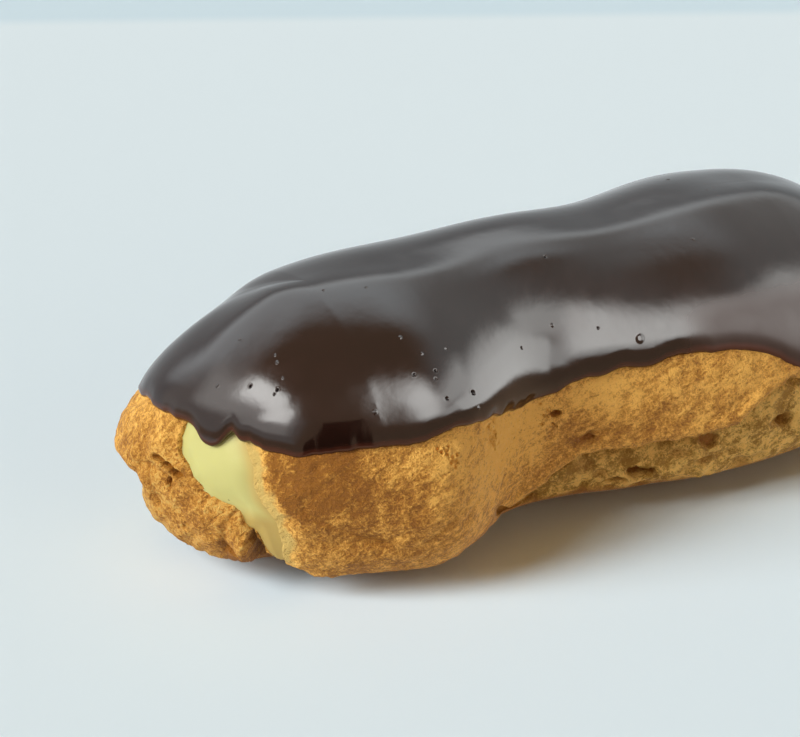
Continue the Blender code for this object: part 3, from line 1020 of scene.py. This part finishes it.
class Nodes:
    """Short calls for building the node tree of a material or of the world."""

    def __init__(self, owner, coordinates="Object"):
        owner.use_nodes = True
        self.owner = owner
        self.tree = owner.node_tree
        self.shader = self.tree.nodes.get("Principled BSDF")
        self.place = self.add("ShaderNodeTexCoord").outputs[coordinates]

    def add(self, kind, **settings):
        """A node with its settings."""
        node = self.tree.nodes.new(kind)
        for label, value in settings.items():
            setattr(node, label, value)
        return node

    def feed(self, socket, value):
        """Link a socket, or set it to a value."""
        if isinstance(value, bpy.types.NodeSocket):
            self.tree.links.new(value, socket)
        else:
            socket.default_value = value

    def mark(self, label):
        """A vertex attribute."""
        return self.add("ShaderNodeAttribute", attribute_name=label).outputs["Fac"]

    def noise(self, size, detail=3.0, rough=0.55, twist=0.0, place=None):
        """Noise in 0..1 whose features have a size in metres."""
        node = self.add("ShaderNodeTexNoise")
        self.feed(node.inputs["Vector"], place or self.place)
        node.inputs["Scale"].default_value = 1.0 / size
        node.inputs["Detail"].default_value = detail
        node.inputs["Roughness"].default_value = rough
        node.inputs["Distortion"].default_value = twist
        return node.outputs["Fac"]

    def math(self, operation, first, second=0.0, third=0.0):
        """A math node."""
        node = self.add("ShaderNodeMath", operation=operation)
        for socket, value in zip(node.inputs, (first, second, third)):
            self.feed(socket, value)
        return node.outputs[0]

    def fit(self, value, start, end, low=0.0, high=1.0):
        """Map start..end to low..high, smoothly and clamped."""
        node = self.add("ShaderNodeMapRange", interpolation_type="SMOOTHSTEP")
        labels = ("Value", "From Min", "From Max", "To Min", "To Max")
        for label, number in zip(labels, (value, start, end, low, high)):
            self.feed(node.inputs[label], number)
        return node.outputs[0]

    def mix(self, share, first, second):
        """A colour mix."""
        node = self.add("ShaderNodeMix", data_type="RGBA")
        for index, value in zip((0, 6, 7), (share, first, second)):
            self.feed(node.inputs[index], value)
        return node.outputs[2]

    def dot(self, vector, direction):
        """Dot product with a fixed direction."""
        node = self.add("ShaderNodeVectorMath", operation="DOT_PRODUCT")
        self.feed(node.inputs[0], vector)
        node.inputs[1].default_value = direction
        return node.outputs["Value"]

    def bump(self, height, distance, strength=1.0, under=None):
        """A bump of a height field."""
        node = self.add("ShaderNodeBump")
        self.feed(node.inputs["Height"], height)
        node.inputs["Distance"].default_value = distance
        node.inputs["Strength"].default_value = strength
        if under is not None:
            self.feed(node.inputs["Normal"], under)
        return node.outputs["Normal"]


def rgb(red, green, blue):
    """A colour with full alpha."""
    return (red, green, blue, 1.0)


GOLD = rgb(0.84, 0.432, 0.094)
TAN = rgb(0.51, 0.224, 0.038)
BROWN = rgb(0.240, 0.086, 0.0115)
FLAKE = rgb(0.50, 0.290, 0.072)
CRUMB_LIGHT = rgb(0.86, 0.51, 0.135)
CRUMB_DARK = rgb(0.30, 0.145, 0.018)
# Dark brown of the torn foot, with painted shade where it meets the floor
FOOT_WITH_SHADE = rgb(0.20, 0.078, 0.010)
# Painted shade in holes, blister pits, creases and the slit
SHADE_IN_HOLLOWS = rgb(0.22, 0.070, 0.006)
# Painted shade deep in the slit
SLIT_SHADE = rgb(0.050, 0.016, 0.004)
CUSTARD_PALE = rgb(0.52, 0.46, 0.158)
CUSTARD_DRY = rgb(0.44, 0.272, 0.066)
# Vanilla speck, also used as painted shade where the custard meets the slit
CUSTARD_SPECK_AND_SHADE = rgb(0.05, 0.03, 0.01)
CHOCOLATE = rgb(0.014, 0.0048, 0.0030)
CHOCOLATE_THIN = rgb(0.050, 0.012, 0.006)
FLOOR_NEAR = rgb(0.82, 0.90, 0.90)
FLOOR_FAR = rgb(0.70, 0.825, 0.855)
FLOOR_STAIN = rgb(0.70, 0.72, 0.70)
SMEAR = rgb(0.58, 0.37, 0.105)
CUSTARD = rgb(0.485, 0.425, 0.142)


def skin_material():
    """Baked choux: mottled brown skin, pale crumb where it is torn, and painted shade in holes, creases, the
    slit and towards the floor.
    """
    n = Nodes(bpy.data.materials.new("baked_choux"))
    slant = n.add("ShaderNodeMapping", vector_type="TEXTURE")
    n.feed(slant.inputs["Vector"], n.place)
    slant.inputs["Rotation"].default_value = (0.0, np.radians(-20.0), 0.0)
    slant.inputs["Scale"].default_value = (3.0, 1.0, 1.0)
    patches = n.noise(0.0075, 3.0, 0.6)
    mottle = n.noise(0.0024, 3.0, 0.6, 0.5)
    streaks = n.noise(0.0007, 3.0, 0.65, 0.3, slant.outputs[0])
    grain = n.noise(0.00050, 3.0, 0.65)
    specks = n.noise(0.00028, 2.0, 0.6)
    # The tone mark also brings in the painted shade towards the floor
    tone = n.math("MULTIPLY_ADD", n.mark("tone"), 2.6, -1.3)
    for pattern, share in ((patches, 1.8), (mottle, 2.2), (streaks, 3.2), (grain, 2.6), (specks, 2.4)):
        tone = n.math("MULTIPLY_ADD", pattern, share, n.math("SUBTRACT", tone, share / 2.0))
    light = n.fit(tone, -0.35, 0.85)
    dark = n.fit(tone, 0.05, -1.30)
    skin = n.mix(light, TAN, GOLD)
    skin = n.mix(dark, skin, BROWN)
    flaky = n.math("MULTIPLY", n.mark("flaky"), n.fit(tone, -0.10, 0.55))
    skin = n.mix(n.math("MULTIPLY", flaky, 0.8), skin, FLAKE)
    crumb_tone = n.math("MULTIPLY_ADD", tone, 0.25, n.noise(0.0038, 3.0, 0.55))
    crumb = n.mix(n.fit(crumb_tone, 0.30, 0.70), CRUMB_DARK, CRUMB_LIGHT)
    colour = n.mix(n.mark("crumb"), skin, crumb)
    # The torn foot: its own brown, darkened by painted shade where it meets the floor
    foot = n.mix(n.math("MULTIPLY", light, 0.2), FOOT_WITH_SHADE, TAN)
    colour = n.mix(n.math("MULTIPLY", n.mark("foot"), 0.8), colour, foot)
    smear = n.math("MULTIPLY_ADD", grain, 0.5, n.mark("smear"))
    colour = n.mix(n.fit(smear, 0.25, 1.15), colour, SMEAR)
    # Painted shade in the creases and in a band just under the lip
    colour = n.mix(n.math("MULTIPLY", n.mark("crease"), 0.8), colour, SHADE_IN_HOLLOWS)
    # Painted shade in holes, blister pits and the slit
    colour = n.mix(n.math("MULTIPLY", n.mark("hollow_shade"), 0.9), colour, SHADE_IN_HOLLOWS)
    # Painted shade deep in the slit
    colour = n.mix(n.mark("slit"), colour, SLIT_SHADE)
    n.feed(n.shader.inputs["Base Color"], colour)
    n.feed(n.shader.inputs["Roughness"], n.fit(grain, 0.3, 0.7, 0.50, 0.75))
    n.shader.inputs["Specular IOR Level"].default_value = 0.30
    normal = n.bump(mottle, 0.00040, 0.7)
    normal = n.bump(streaks, 0.00030, 0.8, normal)
    normal = n.bump(grain, 0.00030, 1.0, normal)
    normal = n.bump(specks, 0.00018, 1.0, normal)
    n.feed(n.shader.inputs["Normal"], normal)
    return n.owner


def custard_material():
    """Smooth pale custard, a little translucent, browner where it dries along its edge, with a dark vanilla
    dot and painted shade beside the slit.
    """
    n = Nodes(bpy.data.materials.new("set_custard"))
    colour = n.mix(n.noise(0.0060, 2.0), CUSTARD, CUSTARD_PALE)
    colour = n.mix(n.math("MULTIPLY", n.mark("brown"), 0.85), colour, CUSTARD_DRY)
    # Vanilla speck, and painted shade where the custard meets the slit
    colour = n.mix(n.fit(n.mark("speck_and_shade"), 0.3, 0.7), colour, CUSTARD_SPECK_AND_SHADE)
    n.feed(n.shader.inputs["Base Color"], colour)
    n.shader.inputs["Roughness"].default_value = 0.42
    n.shader.inputs["Subsurface Weight"].default_value = 0.30
    n.shader.inputs["Subsurface Radius"].default_value = (1.0, 0.75, 0.35)
    n.shader.inputs["Subsurface Scale"].default_value = 0.0014
    n.feed(n.shader.inputs["Normal"], n.bump(n.noise(0.0011, 2.0), 0.00010, 0.4))
    return n.owner


def glaze_material():
    """Dark glossy chocolate, redder where its edge is thin and duller low on the far front."""
    n = Nodes(bpy.data.materials.new("dark_glaze"))
    colour = n.mix(n.fit(n.mark("thin"), 0.2, 1.0), CHOCOLATE, CHOCOLATE_THIN)
    n.feed(n.shader.inputs["Base Color"], colour)
    uneven = n.fit(n.noise(0.0040, 2.0), 0.3, 0.7, 0.10, 0.16)
    n.feed(n.shader.inputs["Roughness"], n.math("MULTIPLY_ADD", n.mark("dull"), DULL_ROUGHNESS, uneven))
    n.shader.inputs["IOR"].default_value = 1.5
    normal = n.bump(n.noise(0.0044, 2.0), 0.00003, 1.0)
    n.feed(n.shader.inputs["Normal"], n.bump(n.noise(0.0015, 3.0), 0.00002, 0.6, normal))
    return n.owner


# ---------------------------------------------------------------- the pieces


def keep(piece, material, node):
    """Give a piece its material and tie it to the frame."""
    piece.data.materials.append(material)
    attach(piece, "root")
    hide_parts(node)


keep(make_choux(), skin_material(), "choux")
keep(make_custard(), custard_material(), "custard")
keep(make_glaze(), glaze_material(), "glaze")


# ---------------------------------------------------------------- floor, light and camera

FLOOR_REACH = 3.0
VIEW_AZIMUTH = -30.0
VIEW_ELEVATION = 27.0
VIEW_DISTANCE = 0.55
VIEW_WIDTH = 0.124
SENSOR = 36.0
AIM_OFFSET = (-0.01934, 0.00665, -0.00092)


def towards(azimuth, elevation):
    """Unit vector from the object at an azimuth and elevation in degrees."""
    turn, tilt = np.radians(azimuth), np.radians(elevation)
    return Vector((np.sin(turn) * np.cos(tilt), -np.cos(turn) * np.cos(tilt), np.sin(tilt)))


def floor_material():
    """Plain pale floor that turns a little bluer far behind the object."""
    n = Nodes(bpy.data.materials.new("pale_floor"))
    ahead = n.dot(n.place, -towards(VIEW_AZIMUTH + FAR_TURN, 0.0))
    far = n.fit(ahead, FAR_START, FAR_START + FAR_BLEND)
    colour = n.mix(far, FLOOR_NEAR, FLOOR_FAR)
    colour = n.mix(n.fit(n.noise(0.0500, 3.0), 0.0, 1.0, 0.0, 0.02), colour, FLOOR_STAIN)
    n.feed(n.shader.inputs["Base Color"], colour)
    n.shader.inputs["Roughness"].default_value = 0.8
    n.shader.inputs["Specular IOR Level"].default_value = 0.2
    return n.owner


def make_stage():
    """Pale floor under the object, which the glossy reflections leave out."""
    built = bmesh.new()
    bmesh.ops.create_grid(built, x_segments=1, y_segments=1, size=FLOOR_REACH)
    mesh = bpy.data.meshes.new("floor")
    built.to_mesh(mesh)
    built.free()
    mesh.materials.append(floor_material())
    floor = bpy.data.objects.new("floor", mesh)
    floor.location.z = CAD_BOX[0][2]
    floor.visible_glossy = False
    bpy.context.scene.collection.objects.link(floor)


def make_card():
    """Dark card in front of the burst end, which only shows as a reflection in the glaze."""
    built = bmesh.new()
    for x, z in (
        (-CARD_FOOT, -CARD_DROP),
        (CARD_FOOT, -CARD_DROP),
        (CARD_TOP, CARD_TALL),
        (-CARD_TOP, CARD_TALL),
    ):
        built.verts.new((x, 0.0, z))
    built.faces.new(built.verts)
    mesh = bpy.data.meshes.new("dark_card")
    built.to_mesh(mesh)
    built.free()
    n = Nodes(bpy.data.materials.new("dark_card"))
    n.shader.inputs["Base Color"].default_value = CARD_COLOUR
    n.shader.inputs["Roughness"].default_value = 1.0
    n.shader.inputs["Specular IOR Level"].default_value = 0.0
    mesh.materials.append(n.owner)
    card = bpy.data.objects.new("dark_card", mesh)
    card.location = CARD_PLACE
    card.rotation_euler.z = np.radians(CARD_TURN)
    card.visible_camera = False
    card.visible_diffuse = False
    card.visible_shadow = False
    bpy.context.scene.collection.objects.link(card)


def make_sun(name, azimuth, elevation, angle, strength, colour):
    """Broad soft light that the glossy reflections leave out."""
    data = bpy.data.lights.new(name, "SUN")
    data.energy = strength
    data.angle = np.radians(angle)
    data.color = colour
    light = bpy.data.objects.new(name, data)
    light.rotation_euler = towards(azimuth, elevation).to_track_quat("Z", "Y").to_euler()
    light.visible_glossy = False
    bpy.context.scene.collection.objects.link(light)


def soft_box(n, azimuth, elevation, width, height, soft):
    """Share 0..1 of a soft-edged rectangle of sky, given its middle, half sizes and edge in degrees."""
    middle = towards(azimuth, elevation)
    side = towards(azimuth + 90.0, 0.0)
    across = n.math("ARCTAN2", n.dot(n.place, side), n.dot(n.place, middle))
    up = n.math("ARCSINE", n.dot(n.place, side.cross(middle)))
    shares = [
        n.fit(n.math("ABSOLUTE", angle), np.radians(half + soft / 2), np.radians(half - soft / 2))
        for angle, half in ((across, width), (up, height))
    ]
    return n.math("MULTIPLY", *shares)


def make_world():
    """A dim warm room for the diffuse light, and soft windows and cards in the reflections."""
    world = bpy.data.worlds.new("studio")
    n = Nodes(world, "Generated")
    diffuse = n.tree.nodes["Background"]
    diffuse.inputs["Color"].default_value = ROOM_DIFFUSE
    colour = ROOM_REFLECTED
    for *box, radiance, tint in SOFT_BOXES:
        glow = rgb(*(radiance * part for part in tint))
        colour = n.mix(soft_box(n, *box), colour, glow)
    reflected = n.add("ShaderNodeBackground")
    n.feed(reflected.inputs["Color"], colour)
    both = n.add("ShaderNodeMixShader")
    n.feed(both.inputs[0], n.add("ShaderNodeLightPath").outputs["Is Glossy Ray"])
    n.feed(both.inputs[1], diffuse.outputs[0])
    n.feed(both.inputs[2], reflected.outputs[0])
    n.feed(n.tree.nodes["World Output"].inputs[0], both.outputs[0])
    bpy.context.scene.world = world


# Broad lights as (name, azimuth, elevation, width, strength, colour)
SUNS = (
    ("high window light", -88.0, 39.0, 26.0, 2.02, (0.795, 0.89, 1.0)),
    ("low window light", -98.0, 24.0, 30.0, 2.95, (0.795, 0.89, 1.0)),
    ("fill light", 16.0, 22.0, 34.0, 0.26, (1.0, 0.87, 0.64)),
)
ROOM_DIFFUSE = rgb(0.165, 0.110, 0.050)
ROOM_REFLECTED = rgb(0.66, 0.46, 0.31)
COOL = (0.93, 1.0, 1.03)
NEUTRAL = (1.0, 1.0, 0.97)
FAR_START = 0.1975
FAR_BLEND = 0.0065
FAR_TURN = 2.0
CARD_PLACE = (-0.0990, -0.1320, CAD_BOX[0][2])
CARD_TURN = -21.0
CARD_COLOUR = rgb(0.004, 0.002, 0.002)
CARD_FOOT = 0.0310
CARD_TOP = 0.0170
CARD_DROP = 0.0900
CARD_TALL = 0.1050

# Soft boxes as (azimuth, elevation, half width, half height, soft edge, radiance, tint), later ones in front.
# They started from a separate program's estimate of the light and were then changed by eye
SOFT_BOXES = (
    (160.0, 0.0, 70.0, 38.0, 16.0, 0.75, COOL),
    (-92.0, 12.0, 44.0, 28.0, 14.0, 1.1, NEUTRAL),
    (160.0, 56.0, 52.0, 20.0, 18.0, 3.0, COOL),
    (80.0, 44.0, 38.0, 18.0, 22.0, 1.2, NEUTRAL),
    (-88.0, 34.0, 26.0, 13.0, 16.0, 3.2, NEUTRAL),
    (-70.0, 19.0, 16.0, 12.0, 12.0, 2.6, NEUTRAL),
    (-84.0, 46.0, 13.0, 5.5, 5.0, 12.5, NEUTRAL),
    (-66.0, 36.0, 9.0, 10.0, 6.0, 11.5, NEUTRAL),
    (76.0, 16.0, 16.0, 18.0, 10.0, 5.4, NEUTRAL),
    (38.0, 37.0, 26.0, 10.0, 10.0, 5.0, NEUTRAL),
    (14.0, 21.0, 13.0, 11.0, 8.0, 4.3, NEUTRAL),
    (33.0, 14.0, 13.0, 10.0, 9.0, 4.6, NEUTRAL),
    (59.0, 12.0, 20.0, 14.0, 8.0, 6.4, NEUTRAL),
    (6.0, 36.0, 12.0, 18.0, 15.0, 9.0, NEUTRAL),
    (8.0, 48.0, 8.0, 9.0, 12.0, 9.5, NEUTRAL),
)

CENTRE = (Vector(CAD_BOX[0]) + Vector(CAD_BOX[1])) / 2
make_stage()
make_card()
for row in SUNS:
    make_sun(*row)
make_world()

camera_data = bpy.data.cameras.new("camera")
camera_data.sensor_width = SENSOR
camera_data.lens = SENSOR * VIEW_DISTANCE / VIEW_WIDTH
camera = bpy.data.objects.new("camera", camera_data)
line_of_sight = towards(VIEW_AZIMUTH, VIEW_ELEVATION)
camera.location = CENTRE + Vector(AIM_OFFSET) + line_of_sight * VIEW_DISTANCE
camera.rotation_euler = line_of_sight.to_track_quat("Z", "Y").to_euler()
bpy.context.scene.collection.objects.link(camera)
bpy.context.scene.camera = camera
bpy.context.scene.view_settings.view_transform = "Standard"
